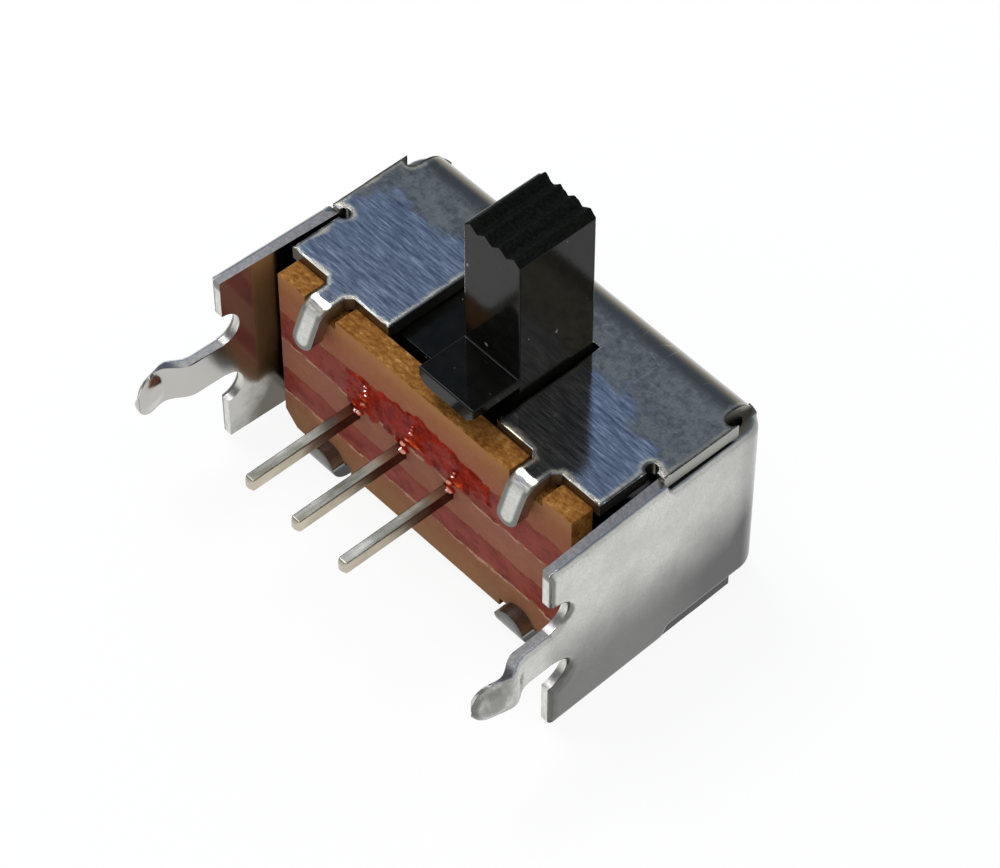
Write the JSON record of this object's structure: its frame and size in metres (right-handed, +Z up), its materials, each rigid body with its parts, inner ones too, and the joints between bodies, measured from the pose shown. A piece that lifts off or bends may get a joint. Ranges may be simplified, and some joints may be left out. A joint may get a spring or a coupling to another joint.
{
  "type": "slide switch",
  "caption": "Right-angle slide switch: folded steel can with snap-in legs, tall ribbed knob sliding between its rest positions, flat pins sealed in a laminate board.",
  "frame": {"origin": "centre of the floor plate's outer face, midway between the end plates and midway between their front edges and the back", "axes": "+X along the travel to the rest position, +Y to the back of the can, away from the pins, +Z up through the knob"},
  "size_m": [0.015, 0.0114, 0.0126],
  "materials": {
    "plated_steel": "zinc plated, blue-tinted, finely brushed along the travel",
    "laminate": "phenolic paper laminate, striped tan and red-brown, rough ochre sheared edges",
    "tinned_brass": "tin plated, satin",
    "red_resin": "hardened translucent red resin",
    "black_plastic": "moulded, glossy",
    "spring_bronze": "bright strip",
    "spring_steel": "drawn wire",
    "ball_steel": "polished"
  },
  "bodies": {
    "housing": {"housing": "plated_steel", "terminal_board": "laminate", "terminal_left": "tinned_brass", "terminal_centre": "tinned_brass", "terminal_right": "tinned_brass", "sealing_resin": "red_resin"},
    "slider": {"slider": "black_plastic", "contact_clip": "spring_bronze", "detent_spring": "spring_steel", "detent_ball": "ball_steel"}
  },
  "joints": [
    {"name": "slide", "type": "slide", "parent": "housing", "child": "slider", "axis": [1, 0, 0], "range_m": [-0.002, 0]}
  ]
}
